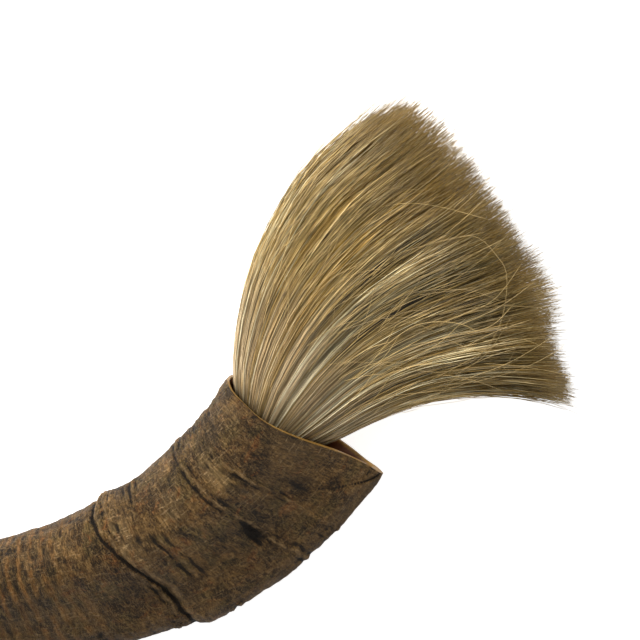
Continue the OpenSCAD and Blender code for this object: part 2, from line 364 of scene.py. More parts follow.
relief += check(S, T, (0.0, 2.92), (13.0, 2.12), 0.035, 0.75)
relief += check(S, T, (1.5, 2.62), (15.0, 2.02), 0.025, 0.35)
relief += check(S, T, (12.0, 4.0), (26.0, 3.8), 0.030, 0.50)
relief += check(S, T, (60.0, 5.0), (74.0, 4.9), 0.030, 0.45)
# Each pit is (length along the horn, turn, half length, half turn, depth)
pits = [
    (35.0, 1.93, 2.3, 0.17, 1.3), (36.4, 2.07, 0.7, 0.12, 0.8),
    (63.0, 1.25, 1.6, 0.10, 0.6), (15.0, 1.9, 1.8, 0.12, 0.4),
]
for place, turn, length, girth, depth in pits:
    relief -= depth * bell((S - place) / length) * bell((T - turn) / girth)
relief *= np.clip((HORN_LENGTH - S) / 20, 0, 1)  # the point is worn smooth
print(f"relief from {relief.min():.2f} to {relief.max():.2f} mm")


# %% The horn's rows of points, outside and inside
RIM_WALL, WALL_GROWTH, HOLLOW_DEPTH = 1.1, 0.022, 150.0
KEEL_WALLS = 2.5  # the keel is nearly solid, so the hollow keeps further from it
rim_wave = 0.45 * blurred((COLUMNS, COLUMNS), 60, 12, 9)[0]


def section(s, t, inset):
    """Points of the horn's section, drawn in by an inset of 0 outside and a whole wall inside."""
    half_width = plain_half_width(s)
    width = half_width + swell(s) / 2 - KEEL_WALLS * inset
    shift = (KEEL_WALLS - 1) * inset - swell(s) / 2
    height = half_width * roundness(s) - inset
    up = np.where(np.sin(t) < 0, -1, 1) * height * half_thickness((1 - np.cos(t)) / 2, s)
    return on_horn(s + rim_wave * np.exp(-s / 5), shift + width * np.cos(t), up)


def push_out(grid, amount):
    """Moves a grid of points along its own normals."""
    along = np.gradient(grid, axis=0)
    around = (np.roll(grid, -1, axis=1) - np.roll(grid, 1, axis=1)) / 2
    normal = np.cross(around, along)
    normal /= np.maximum(np.linalg.norm(normal, axis=2, keepdims=True), 1e-9)
    outward = np.sign(np.sum(normal * (grid - grid.mean(axis=1, keepdims=True)), axis=2).mean())
    return grid + outward * normal * amount[..., None]


outside = push_out(section(S, T, 0.0), relief * np.clip(S / 1.5, 0.15, 1))
outside[..., 2] = np.maximum(outside[..., 2], 0.02 * (1 + wrinkles))  # it lies on its underside
rim_rows = [(0.10, 0.10), (0.0, 0.32), (0.0, 0.55), (0.0, 0.80), (0.10, 1.00)]
inner_s = np.linspace(0.4, HOLLOW_DEPTH, 44)
inner_rows = rim_rows + [(s, RIM_WALL + WALL_GROWTH * s) for s in inner_s]
inside = np.stack([section(np.full(COLUMNS, s), turns, inset) for s, inset in inner_rows])
behind_rim = (np.arange(len(inner_rows)) > len(rim_rows))[:, None]
inner_relief = 0.12 * blurred(inside.shape[:2], 3, 20, 10) * behind_rim
inside = push_out(inside, -inner_relief)
print(f"horn grid: {outside.shape[0]} rows outside and {inside.shape[0]} inside, {COLUMNS} round")


# %% From rows of points to a mesh
def mesh_object(name, points, faces):
    """A mesh object from points in millimetres and faces of three or four corners."""
    mesh = bpy.data.meshes.new(name)
    corners = np.array([len(face) for group in faces for face in group], np.int32)
    mesh.vertices.add(len(points))
    mesh.vertices.foreach_set("co", (np.asarray(points) * MM).astype(np.float32).ravel())
    mesh.loops.add(int(corners.sum()))
    order = np.concatenate([group.ravel() for group in faces])
    mesh.loops.foreach_set("vertex_index", order.astype(np.int32))
    mesh.polygons.add(len(corners))
    mesh.polygons.foreach_set("loop_start", np.concatenate([[0], np.cumsum(corners)[:-1]]).astype(np.int32))
    mesh.update(calc_edges=True)
    mesh.validate()
    mesh.shade_smooth()
    piece = bpy.data.objects.new(name, mesh)
    bpy.context.scene.collection.objects.link(piece)
    return piece


def grid_faces(rows, columns):
    """The quads between rings of points that follow each other."""
    r, c = np.meshgrid(np.arange(rows - 1), np.arange(columns), indexing="ij")
    a, b = r * columns + c, r * columns + (c + 1) % columns
    return np.stack([a, a + columns, b + columns, b], -1).reshape(-1, 4)


def end_faces(first, columns, middle, flip):
    """The triangles from a ring to a point in its middle."""
    a = first + np.arange(columns)
    b = first + (np.arange(columns) + 1) % columns
    fan = np.stack([a, b, np.full(columns, middle)], -1)
    return fan[:, ::-1] if flip else fan


def closed_rings(name, rings):
    """A closed piece from an array of rings, with a point in the middle of each end."""
    rows, columns = rings.shape[:2]
    count = rows * columns
    points = np.concatenate([rings.reshape(-1, 3), rings[0].mean(0)[None], rings[-1].mean(0)[None]])
    caps = [end_faces(0, columns, count, False), end_faces(count - columns, columns, count + 1, True)]
    return mesh_object(name, points, [grid_faces(rows, columns)] + caps)


def give_values(piece, name, values, kind="FLOAT"):
    """Writes one number, or one vector, at each point of the mesh for the material to read."""
    layer = piece.data.attributes.new(name, kind, "POINT")
    layer.data.foreach_set("value" if kind == "FLOAT" else "vector", np.asarray(values, np.float32).ravel())


# %% The horn as one closed shell
rings = np.concatenate([inside[::-1], outside])
horn = closed_rings("horn_shell", rings)
print("horn_shell:", len(horn.data.polygons), "faces")

# Where each point is on a straightened horn, in centimetres, so that the grain follows the bend
outer_grain = np.stack([S, plain_half_width(S) * np.cos(T), plain_half_width(S) * np.sin(T)], -1) / 10
inner_lengths = np.stack([np.full(COLUMNS, s) for s, _ in inner_rows])
inner_turns = np.tile(turns, (len(inner_rows), 1))
inner_grain = np.stack([inner_lengths, 25 * np.cos(inner_turns), 25 * np.sin(inner_turns)], -1) / 10
grain = np.concatenate([inner_grain[::-1], outer_grain]).reshape(-1, 3)
give_values(horn, "grain", np.concatenate([grain, grain[:1], grain[-1:]]), "FLOAT_VECTOR")


def local_height(grid, reach):
    """How far each point stands above its surroundings: negative in grooves and pits."""
    rows = np.fft.fftfreq(grid.shape[0])[:, None]
    columns = np.fft.fftfreq(grid.shape[1])[None, :]
    around = np.real(np.fft.ifft2(np.fft.fft2(grid) * np.exp(-2 * (reach * np.hypot(rows, columns)) ** 2)))
    return grid - around


height = np.clip(local_height(relief, 7) / 0.5, -1, 1)
# Paler patches: partly wear, partly a painted highlight, as the one 27 mm from the mouth
sheen_and_wear_places = [
    (27, 1.12, 4, 0.35, 1.0), (7, 0.75, 5, 0.30, 0.5), (47, 1.1, 5, 0.40, 0.5),
    (67, 1.0, 5, 0.5, 0.6), (24, 1.95, 5, 0.2, 0.4),
]
# Darker patches; those over the pits are painted shade in them
dark_places = [
    (18, 0.6, 4, 0.25, 0.9), (15, 1.5, 4, 0.30, 0.8), (13, 1.95, 3, 0.15, 0.9), (24, 0.75, 3, 0.2, 0.6),
    (36, 1.9, 5, 0.25, 1.0), (36, 2.3, 4, 0.2, 0.7), (60, 1.4, 5, 0.2, 0.7),
]


def patches_of(places, ragged):
    """Soft patches on the horn, each (length, turn, half length, half turn, strength), with ragged edges."""
    patches = sum(
        strength * bell((S - s) / along) * bell((T - t) / around)
        for s, t, along, around, strength in places
    )
    return np.clip(1.5 * patches - 0.25 + 0.35 * ragged * (patches > 0.05), 0, 1)


faint_wear = 0.35 * np.clip(blurred(S.shape, 30, 12, 13), 0, 1)
sheen_and_wear = np.maximum(patches_of(sheen_and_wear_places, blurred(S.shape, 6, 3, 15)), faint_wear)
faint_dark = 0.4 * np.clip(blurred(S.shape, 26, 14, 17) - 0.4, 0, 1)
dark_patches = np.maximum(patches_of(dark_places, blurred(S.shape, 7, 4, 16)), faint_dark)
# Painted shade darkens the keel's side, which faces away from the light, but not the underside
not_underneath = np.sin(T) > -0.2
keel_shade = np.clip(1.25 * F - 0.25 + 0.15 * blurred(S.shape, 34, 14, 14), 0, 1) * not_underneath
flat = np.zeros(inside.size // 3)  # the inside has none of them
for name, outer in (("sheen_and_wear", sheen_and_wear), ("keel_shade", keel_shade), ("dark_patches", dark_patches), ("height", height)):
    give_values(horn, name, np.concatenate([flat, outer.ravel(), [0, 0]]))

# %% [markdown]
# ## The horn's finish
#
# Old horn is brown keratin in thin layers. The outside is dry and matt: painted shade darkens the
# grooves and the keel's side, a painted highlight lightens the ridges, paler patches are partly wear
# and partly a painted highlight, and there is amber where light gets into a thin place.
# A painted texture would stretch over the bend, so every pattern here is worked out on the
# straightened horn. The cut rim and the inner wall are a second finish: smooth horn, honey-coloured
# at the rim, with painted shade that darkens the wall deeper in the hollow.
# The grain is a node group, because both finishes use it at different strengths.

# %% Grain of horn, as a shared effect
grain_group = bpy.data.node_groups.new("horn_grain", "ShaderNodeTree")
interface = grain_group.interface
interface.new_socket("Place", in_out="INPUT", socket_type="NodeSocketVector")
for output in ("Patches", "Mottle", "Wrinkles", "Scratches"):
    interface.new_socket(output, in_out="OUTPUT", socket_type="NodeSocketFloat")
inputs = grain_group.nodes.new("NodeGroupInput")
outputs = grain_group.nodes.new("NodeGroupOutput")


def stretched(tree, place, along, around):
    """Stretches the place, so that a pattern is finer along the horn or round it."""
    scaled = add(tree, "ShaderNodeVectorMath", operation="MULTIPLY")
    tree.links.new(place, scaled.inputs[0])
    scaled.inputs[1].default_value = (along, around, around)
    return scaled.outputs[0]


def noise(tree, place, scale, detail=4.0, roughness=0.55, distortion=0.0):
    """A noise pattern at this place."""
    node = add(tree, "ShaderNodeTexNoise", Vector=place, Scale=scale, Detail=detail, Roughness=roughness)
    node.inputs["Distortion"].default_value = distortion
    return node.outputs["Fac"]


place = inputs.outputs["Place"]
patches = noise(grain_group, place, 0.85, 5.0, 0.6, 0.6)
mottle = noise(grain_group, stretched(grain_group, place, 1.8, 1.0), 6.5, 5.0, 0.68, 1.6)
wrinkle = noise(grain_group, stretched(grain_group, place, 5.0, 1.0), 3.2, 4.0, 0.6, 1.6)
scratch = noise(grain_group, stretched(grain_group, place, 0.8, 5.0), 3.2, 3.0, 0.6, 0.3)
for name, value in (("Patches", patches), ("Mottle", mottle), ("Wrinkles", wrinkle), ("Scratches", scratch)):
    grain_group.links.new(value, outputs.inputs[name])


def horn_grain(tree):
    """Places the shared grain in a material, fed with the straightened place."""
    source = add(tree, "ShaderNodeAttribute", attribute_name="grain")
    group = tree.nodes.new("ShaderNodeGroup")
    group.node_tree = grain_group
    tree.links.new(source.outputs["Vector"], group.inputs["Place"])
    return source.outputs["Vector"], group.outputs


# %% Weathered outside of the horn
bark, tree, shader = new_material("horn_bark")
place, grain_of = horn_grain(tree)
height = add(tree, "ShaderNodeAttribute", attribute_name="height").outputs["Fac"]
sheen_and_wear = add(tree, "ShaderNodeAttribute", attribute_name="sheen_and_wear").outputs["Fac"]
along = add(tree, "ShaderNodeSeparateXYZ", Vector=place).outputs["X"]


def stain(amount, colour, under):
    """Lays a colour over the one under it, by an amount."""
    return mix(tree, amount, under, rgb(colour))


def part_of(amount, share):
    """A share of an amount."""
    return maths(tree, "MULTIPLY", amount, share)


colour = mix(tree, ramp(tree, grain_of["Patches"], 0.38, 0.62), rgb("#513a1e"), rgb("#876537"))
olive = noise(tree, place, 1.4, 3.0, 0.5, 0.4)
colour = stain(part_of(ramp(tree, olive, 0.50, 0.64), 0.8), "#66532c", colour)
amber = noise(tree, stretched(tree, place, 1.0, 1.3), 1.7, 4.0, 0.6, 1.0)
colour = stain(part_of(ramp(tree, amber, 0.54, 0.70), 0.85), "#8a5526", colour)
soot = noise(tree, stretched(tree, place, 1.2, 1.0), 1.15, 5.0, 0.62, 0.8)
colour = stain(part_of(ramp(tree, soot, 0.52, 0.66), 0.85), "#261c0f", colour)
busy = maths(tree, "ADD", part_of(ramp(tree, grain_of["Patches"], 0.62, 0.36), 0.6), 0.4)
colour = stain(maths(tree, "MULTIPLY", ramp(tree, grain_of["Mottle"], 0.52, 0.40), busy), "#21180f", colour)
fleck = maths(tree, "MULTIPLY", ramp(tree, grain_of["Mottle"], 0.56, 0.68), part_of(busy, 0.75))
colour = stain(fleck, "#a8875a", colour)
vein = maths(tree, "ABSOLUTE", maths(tree, "SUBTRACT", grain_of["Wrinkles"], 0.46))
scale_edge = maths(tree, "ABSOLUTE", maths(tree, "SUBTRACT", grain_of["Wrinkles"], 0.56))
colour = stain(part_of(ramp(tree, vein, 0.024, 0.005), 0.70), "#1a1209", colour)
year = add(tree, "ShaderNodeTexWave", Vector=place, Scale=0.72, Distortion=2.2, Detail=3.0)
year.inputs["Detail Scale"].default_value = 0.8
year_bands = maths(tree, "MULTIPLY", ramp(tree, along, 8.0, 10.0), ramp(tree, soot, 0.62, 0.40))
winter = maths(tree, "MULTIPLY", ramp(tree, year.outputs["Fac"], 0.45, 0.15), part_of(year_bands, 0.75))
colour = stain(winter, "#2f2519", colour)
summer = maths(tree, "MULTIPLY", ramp(tree, year.outputs["Fac"], 0.55, 0.90), part_of(year_bands, 0.6))
colour = stain(summer, "#94642f", colour)
scratch_amount = maths(tree, "ADD", part_of(sheen_and_wear, 0.9), 0.25)
scraped = maths(tree, "MULTIPLY", ramp(tree, grain_of["Scratches"], 0.57, 0.66), scratch_amount)
colour = stain(scraped, "#c2a173", colour)
# paler patches: partly wear, partly a painted highlight
colour = stain(part_of(sheen_and_wear, 0.40), "#b08f5e", colour)
keel_shade = add(tree, "ShaderNodeAttribute", attribute_name="keel_shade").outputs["Fac"]
# painted shade on the keel's side, which faces away from the light
colour = stain(part_of(keel_shade, 0.46), "#2e1f0a", colour)
dark_patches = add(tree, "ShaderNodeAttribute", attribute_name="dark_patches").outputs["Fac"]
# darker patches; over the pits this is painted shade
colour = stain(part_of(dark_patches, 0.55), "#1d1710", colour)
colour = stain(part_of(ramp(tree, scale_edge, 0.022, 0.004), 0.42), "#a5834f", colour)
# painted shade in the grooves and pits
colour = stain(part_of(ramp(tree, height, -0.08, -0.55), 0.9), "#150f09", colour)
# painted highlight on the ridges
colour = stain(part_of(ramp(tree, height, 0.20, 0.85), 0.45), "#a5865a", colour)
tree.links.new(colour, shader.inputs["Base Color"])
rough = add(tree, "ShaderNodeMapRange", Value=grain_of["Mottle"])
rough.inputs["To Min"].default_value, rough.inputs["To Max"].default_value = 0.72, 0.42
tree.links.new(rough.outputs["Result"], shader.inputs["Roughness"])
shader.inputs["Specular IOR Level"].default_value = 0.22
relief_value = maths(tree, "ADD", part_of(ramp(tree, vein, 0.0, 0.05), 0.6), grain_of["Mottle"])
relief_value = maths(tree, "ADD", relief_value, part_of(grain_of["Scratches"], 0.5))
bump = add(tree, "ShaderNodeBump", Height=relief_value, Strength=1.0, Distance=0.0009)
tree.links.new(bump.outputs["Normal"], shader.inputs["Normal"])

# %% Honey-coloured rim and inner wall
cut_horn, tree, shader = new_material("cut_horn")
place, grain_of = horn_grain(tree)
depth = add(tree, "ShaderNodeSeparateXYZ", Vector=place).outputs["X"]
colour = mix(tree, ramp(tree, grain_of["Patches"], 0.35, 0.65), rgb("#a8803c"), rgb("#8e6a30"))
colour = mix(tree, ramp(tree, depth, 0.01, 0.12), colour, rgb("#6a3b1b"))
# painted shade: the inner wall darkens deeper in the hollow
colour = mix(tree, ramp(tree, depth, 0.5, 2.0), colour, rgb("#2c170c"))
mottled = maths(tree, "MULTIPLY", ramp(tree, grain_of["Mottle"], 0.5, 0.36), 0.5)
colour = mix(tree, mottled, colour, rgb("#4a2a12"))
tree.links.new(colour, shader.inputs["Base Color"])
shader.inputs["Roughness"].default_value = 0.38
bump = add(tree, "ShaderNodeBump", Height=grain_of["Scratches"], Strength=0.4, Distance=0.0004)
tree.links.new(bump.outputs["Normal"], shader.inputs["Normal"])

horn.data.materials.append(bark)
horn.data.materials.append(cut_horn)
inside_faces = len(inner_rows) * COLUMNS
slots = np.zeros(len(horn.data.polygons), np.int32)
slots[:inside_faces] = 1
slots[-2 * COLUMNS : -COLUMNS] = 1
horn.data.polygons.foreach_set("material_index", slots)
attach(horn, "handle")
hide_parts("horn_handle")
print("horn_shell rides on the handle")

# %% [markdown]
# ## Glue, rosin and thread
#
# The root of the tuft is wound with thread and set in glue and rosin, deep in the mouth. Little of
# it shows, and the frame's own shapes are right, so they stay and only get their finishes: dark,
# glossy glue and paler rosin, both clouded and finely crazed, and twisted silk thread.


# %% Finishes for the pieces in the mouth
def dress(node, material):
    """Gives a finish to a piece of the frame."""
    mesh = nodes[node].data
    mesh.materials.clear()
    mesh.materials.append(material)


def set_glue(name, dark, light, scale):
    """A hardened, glossy glue: clouded colour, with fine crazing."""
    material, tree, shader = new_material(name)
    place = add(tree, "ShaderNodeTexCoord").outputs["Object"]
    cloud = noise(tree, place, scale, 5.0, 0.6, 0.5)
    clouded = mix(tree, ramp(tree, cloud, 0.35, 0.65), rgb(dark), rgb(light))
    tree.links.new(clouded, shader.inputs["Base Color"])
    shader.inputs["Roughness"].default_value = 0.25
    crazing = add(tree, "ShaderNodeTexVoronoi", Vector=place, Scale=scale * 5)
    bump = add(tree, "ShaderNodeBump", Height=crazing.outputs["Distance"], Strength=0.5, Distance=0.0004)
    tree.links.new(bump.outputs["Normal"], shader.inputs["Normal"])
    return material


def silk_thread(name, dark, light):
    """Twisted thread: slanting strands that catch the light."""
    material, tree, shader = new_material(name)
    place = add(tree, "ShaderNodeTexCoord").outputs["Object"]
    twist = add(tree, "ShaderNodeTexWave", Vector=place, Scale=900.0, Distortion=2.0, Detail=2.0)
    twist.bands_direction = "DIAGONAL"
    tree.links.new(mix(tree, twist.outputs["Fac"], rgb(dark), rgb(light)), shader.inputs["Base Color"])
    shader.inputs["Roughness"].default_value = 0.55
    bump = add(tree, "ShaderNodeBump", Height=twist.outputs["Fac"], Strength=0.5, Distance=0.0002)
    tree.links.new(bump.outputs["Normal"], shader.inputs["Normal"])
    return material


dress("glue_bed", set_glue("hide_glue", "#20130a", "#4a2c16", 160.0))
dress("root_seal", set_glue("rosin", "#3a200e", "#6e4420", 220.0))
thread = silk_thread("silk_thread", "#8f7f5e", "#d8c9a4")
dress("core_binding", thread)
dress("coat_binding", thread)
print("dressed: glue_bed, root_seal, core_binding, coat_binding")

# %% [markdown]
# ## How the hair runs
#
# On the brush, every hair starts in the bound root, spreads as it leaves the mouth and bends over to
# the right. Here the bundles below reach into the root, and single hairs are grown where they show.
# Blender's own hair system would look right in one render, but it isn't a mesh, so it can't be kept
# as a model. Instead, each hair is a path with a place in the tuft: q from -1 at the round back to 1 at
# the keel side, r from -1 underneath to 1 on top, and t from 0 at the mouth to 1 at the tip.

# %% The tuft's axes
ROOT_HEADING = MOUTH_HEADING + MOUTH_SKEW
ROOT_AXIS = np.array([np.cos(ROOT_HEADING), np.sin(ROOT_HEADING)])
ACROSS = np.array([ROOT_AXIS[1], -ROOT_AXIS[0]])
TUFT_CENTRE = -(0.5 - FAT_PLACE) * MOUTH_WIDTH * ACROSS
MOUTH_MIDDLE = float(plain_half_width(0.0) * roundness(0.0))
TUFT_HALF_WIDTH, TUFT_HALF_DEPTH, TUFT_RISE = 20.0, 13.5, 14.0
TIP_HALF_WIDTH, TIP_HALF_DEPTH = 57.0, 31.0
DESK_CLEARANCE = 0.2  # from the desk to the middle of the lowest hair
ROOT_RADIUS, BINDING_START = 11.5, 12.0
FREE_LENGTH = 100.0  # of an average hair, from the mouth to its tip


# %% One hair's path
def free_hair(q, r, t):
    """Where a hair is in front of the mouth."""

    def along(angle, reach):
        direction = np.stack([np.cos(np.radians(angle)), np.sin(np.radians(angle))], -1)
        return direction * np.asarray(reach)[..., None]

    q, r, t = np.broadcast_arrays(q, r, t)
    start = TUFT_CENTRE + (q * TUFT_HALF_WIDTH)[..., None] * ACROSS
    tip = np.stack([69 + 26.5 * q - 8.5 * q * q, 63 - 52.5 * q - 2.5 * q * q], -1)
    first = start + along(59.5 - 33.5 * q, 43 - 13 * q)
    second = tip - along(30 - 23 * q - 11 * q * q, 32.5 - 2.5 * q)
    u, v = (1 - t)[..., None], t[..., None]
    plan = u**3 * start + 3 * u * u * v * first + 3 * u * v * v * second + v**3 * tip
    depth = TUFT_HALF_DEPTH + (TIP_HALF_DEPTH - TUFT_HALF_DEPTH) * t * (1.6 - 0.6 * t)
    return np.concatenate([plan, (MOUTH_MIDDLE + TUFT_RISE * t + r * depth)[..., None]], -1)


def held_hair(q, r, depth):
    """Where a hair is at some depth behind the mouth, drawing in to the bound root."""
    q, r, depth = np.broadcast_arrays(q, r, depth)
    spread = np.maximum(0, 1 - depth / BINDING_START) ** 1.2
    wide = ROOT_RADIUS + (TUFT_HALF_WIDTH - ROOT_RADIUS) * spread
    deep = ROOT_RADIUS + (TUFT_HALF_DEPTH - ROOT_RADIUS) * spread
    plan = TUFT_CENTRE - depth[..., None] * ROOT_AXIS + (q * wide)[..., None] * ACROSS
    return np.concatenate([plan, (MOUTH_MIDDLE + r * deep)[..., None]], -1)


def hair_path(q, r, t):
    """The whole hair: below t = 0 it is held in the horn."""
    held = held_hair(q, r, np.maximum(0, -t) * FREE_LENGTH)
    return np.where((np.asarray(t) < 0)[..., None], held, free_hair(q, r, np.maximum(t, 0)))


def full_length(q, r):
    """The t at which a hair ends: the tips form a low dome."""
    return 1 - 0.08 * r * r - 0.15 * np.minimum(1, q * q + r * r) ** 4 * (1 - q) / 2


def bend_with_tuft(piece):
    """Bakes the piece's placement into its mesh."""
    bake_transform(piece)


print("a hair of the middle ends at", hair_path(np.array(0.0), np.array(0.0), np.array(1.0)).round(1))

# %% [markdown]
# ## The bundles under the surface
#
# A tuft this thick holds tens of thousands of hairs, and only the outer few layers are seen. The
# three bundles that it is made from, core, belly and coat, are closed bodies with a combed surface,
# dark with the shade between hairs. They fill the tuft, and the separate hairs are laid over them.

# %% Combed bundles
BUNDLE_SIDES = 200
BUNDLE_STEPS = np.concatenate([-np.linspace(0.30, 0.02, 12), np.linspace(0, 1, 44)])
BUNDLE_LENGTH = 0.93  # of a whole hair, so that the hairs' tips stand clear of the bundles


def bundle_surface(share, seed):
    """Rings of points round a bundle whose radius is a share of the tuft's, with a combed surface."""
    turn = np.linspace(0, 2 * np.pi, BUNDLE_SIDES, endpoint=False)
    comb = blurred((BUNDLE_SIDES, BUNDLE_SIDES), 1, 2.2, seed)[0]
    rings = []
    for t in BUNDLE_STEPS:
        grooved = share * (1 + 0.022 * comb * np.clip(0.3 + t, 0, 1))
        q, r = grooved * np.cos(turn), grooved * np.sin(turn)
        end = BUNDLE_LENGTH * full_length(q, r) + 0.012 * comb
        rings.append(hair_path(q, r, np.where(t > 0, t * end, t)))
    return np.array(rings)


def sleeve_of(name, outer, inner):
    """A closed sleeve from its outer and its inner surface."""
    rings = np.concatenate([outer, inner[::-1]])
    rows, columns = rings.shape[:2]
    faces = [grid_faces(rows, columns)]
    c = np.arange(columns)
    last, following = (rows - 1) * columns, (c + 1) % columns
    faces.append(np.stack([last + c, c, following, last + following], -1))
    return mesh_object(name, rings.reshape(-1, 3), faces)


def tip_dome(share, layers):
    """Rings that close the end of a bundle, from its edge to its middle."""
    turn = np.linspace(0, 2 * np.pi, BUNDLE_SIDES, endpoint=False)
    rings = []
    for k in range(layers - 1, 0, -1):
        q, r = share * k / layers * np.cos(turn), share * k / layers * np.sin(turn)
        rings.append(free_hair(q, r, BUNDLE_LENGTH * full_length(q, r)))
    return np.array(rings)


CORE_SHARE, BELLY_SHARE, COAT_SHARE = 0.55, 0.75, 0.87
shares = (CORE_SHARE, BELLY_SHARE, COAT_SHARE)
surfaces = {share: bundle_surface(share, 30 + k) for k, share in enumerate(shares)}
core_bundle = closed_rings("core_bundle", np.concatenate([surfaces[CORE_SHARE], tip_dome(CORE_SHARE, 5)]))
belly_bundle = sleeve_of("belly_bundle", surfaces[BELLY_SHARE], surfaces[CORE_SHARE])
coat_bundle = sleeve_of("coat_bundle", surfaces[COAT_SHARE], surfaces[BELLY_SHARE])


# %% Hair colour, as a shared effect
hair_group = bpy.data.node_groups.new("hair_colour", "ShaderNodeTree")
interface = hair_group.interface
for name in ("Root", "Length", "Tip"):
    interface.new_socket(name, in_out="INPUT", socket_type="NodeSocketColor")
interface.new_socket("Along", in_out="INPUT", socket_type="NodeSocketFloat")
interface.new_socket("Tint", in_out="INPUT", socket_type="NodeSocketFloat")
interface.new_socket("Colour", in_out="OUTPUT", socket_type="NodeSocketColor")
interface.new_socket("Roughness", in_out="OUTPUT", socket_type="NodeSocketFloat")
inputs = hair_group.nodes.new("NodeGroupInput")
outputs = hair_group.nodes.new("NodeGroupOutput")
past_root = ramp(hair_group, inputs.outputs["Along"], 0.05, 0.40)
colour = mix(hair_group, past_root, inputs.outputs["Root"], inputs.outputs["Length"])
near_tip = ramp(hair_group, inputs.outputs["Along"], 0.52, 1.0)
colour = mix(hair_group, near_tip, colour, inputs.outputs["Tip"])
place = add(hair_group, "ShaderNodeCombineXYZ", X=inputs.outputs["Along"]).outputs["Vector"]
hair_group.links.new(maths(hair_group, "MULTIPLY", inputs.outputs["Tint"], 9.0), place.node.inputs["Y"])
cloud = ramp(hair_group, noise(hair_group, place, 11.0, 2.0, 0.6), 0.34, 0.66)
shade = maths(hair_group, "ADD", inputs.outputs["Tint"], 0.42)
glint = maths(hair_group, "ADD", maths(hair_group, "MULTIPLY", cloud, 0.6), 0.72)
shade = maths(hair_group, "MULTIPLY", shade, glint)
grey = hair_group.nodes.new("ShaderNodeCombineColor")
for channel in ("Red", "Green", "Blue"):
    hair_group.links.new(shade, grey.inputs[channel])
shaded = mix(hair_group, 1.0, colour, grey.outputs["Color"], "MULTIPLY")
hair_group.links.new(shaded, outputs.inputs["Colour"])
rough = maths(hair_group, "ADD", maths(hair_group, "MULTIPLY", cloud, 0.15), 0.30)
hair_group.links.new(rough, outputs.inputs["Roughness"])


def hair_material(name, root, length, tip):
    """One colour of hair, from its root to its tip, with its own tint for each hair."""
    material, tree, shader = new_material(name)
    group = tree.nodes.new("ShaderNodeGroup")
    group.node_tree = hair_group
    for socket, value in (("Root", root), ("Length", length), ("Tip", tip)):
        group.inputs[socket].default_value = rgb(value)
    along = add(tree, "ShaderNodeAttribute", attribute_name="along")
    tint = add(tree, "ShaderNodeAttribute", attribute_name="tint")
    tree.links.new(along.outputs["Fac"], group.inputs["Along"])
    tree.links.new(tint.outputs["Fac"], group.inputs["Tint"])
    tree.links.new(group.outputs["Colour"], shader.inputs["Base Color"])
    tree.links.new(group.outputs["Roughness"], shader.inputs["Roughness"])
    shader.inputs["Specular IOR Level"].default_value = 0.35
    return material


def dress_bundle(piece, material, seed):
    """Gives a bundle its finish and its streaks, and bakes its placement into its mesh."""
    count = len(piece.data.vertices)
    rows = count // BUNDLE_SIDES + 1
    both_ways = np.concatenate([BUNDLE_STEPS, BUNDLE_STEPS[::-1], np.ones(12)])
    steps = np.repeat(both_ways[:rows], BUNDLE_SIDES)[:count]
    streaks = 0.5 + 0.35 * np.tile(blurred((BUNDLE_SIDES, BUNDLE_SIDES), 1, 2.0, seed)[0], rows)[:count]
    give_values(piece, "along", steps)
    give_values(piece, "tint", streaks)
    piece.data.materials.append(material)
    bend_with_tuft(piece)


shade_of_coat = hair_material("coat_shade", "#6e5b3c", "#76623c", "#5e4c2a")
shade_of_belly = hair_material("belly_shade", "#5a4828", "#6b5430", "#5a482a")
shade_of_core = hair_material("core_shade", "#4a3c28", "#54472f", "#4d4028")
bundles = (
    (core_bundle, shade_of_core, "core", 41),
    (belly_bundle, shade_of_belly, "belly", 42),
    (coat_bundle, shade_of_coat, "coat", 43),
)
for piece, material, kind, seed in bundles:
    dress_bundle(piece, material, seed)
    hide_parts(kind + "_hair", kind + "_hair_root")
print("bundles:", [len(piece.data.polygons) for piece in (core_bundle, belly_bundle, coat_bundle)])

# %% [markdown]
# ## Locks and hairs
#
# Hair doesn't spread evenly: natural oils and the maker's comb gather it in locks. Each lock here has
# a place, a colour and a bend of its own, and every hair belongs to the nearest lock and leans
# towards it. A hair is a three-sided tube that thins to its tip, fine enough to read as one line.
# The hairs of each colour are three pieces: those on the upper side, those underneath and the tips.

# %% Places of the locks and of the hairs
OUTER_LOCKS, INNER_LOCKS = 413, 206
LOCKS = OUTER_LOCKS + INNER_LOCKS
SHELL_HAIRS, TIP_HAIRS = 15000, 8000


def even_turns(count):
    """Turns round the tuft, spread evenly over its outline at the tips rather than by angle."""
    turn = np.linspace(0, 2 * np.pi, 2001)
    step = np.hypot(TIP_HALF_WIDTH * np.sin(turn), TIP_HALF_DEPTH * np.cos(turn))
    reach = np.concatenate([[0], np.cumsum((step[1:] + step[:-1]) / 2)])
    return np.interp(rng.random(count), reach / reach[-1], turn)


def disc(count, low, high):
    """Places (q, r) between two shares of the tuft's radius."""
    share = np.sqrt(low**2 + (high**2 - low**2) * rng.random(count))
    turn = even_turns(count)
    return np.stack([share * np.cos(turn), share * np.sin(turn)], -1)


lock_places = np.concatenate([disc(OUTER_LOCKS, 0.85, 1.0), disc(INNER_LOCKS, 0.0, 0.85)])
hair_places = np.concatenate([disc(SHELL_HAIRS, 0.86, 0.985), disc(TIP_HAIRS, 0.0, 0.93)])
is_shell = np.arange(len(hair_places)) < SHELL_HAIRS
scale = np.array([TIP_HALF_WIDTH, TIP_HALF_DEPTH])
lock_of = np.concatenate([
    np.argmin((((part[:, None] - lock_places[None]) * scale) ** 2).sum(2), 1)
    for part in np.array_split(hair_places, 12)
])
print(f"{len(hair_places)} hairs in {LOCKS} locks")

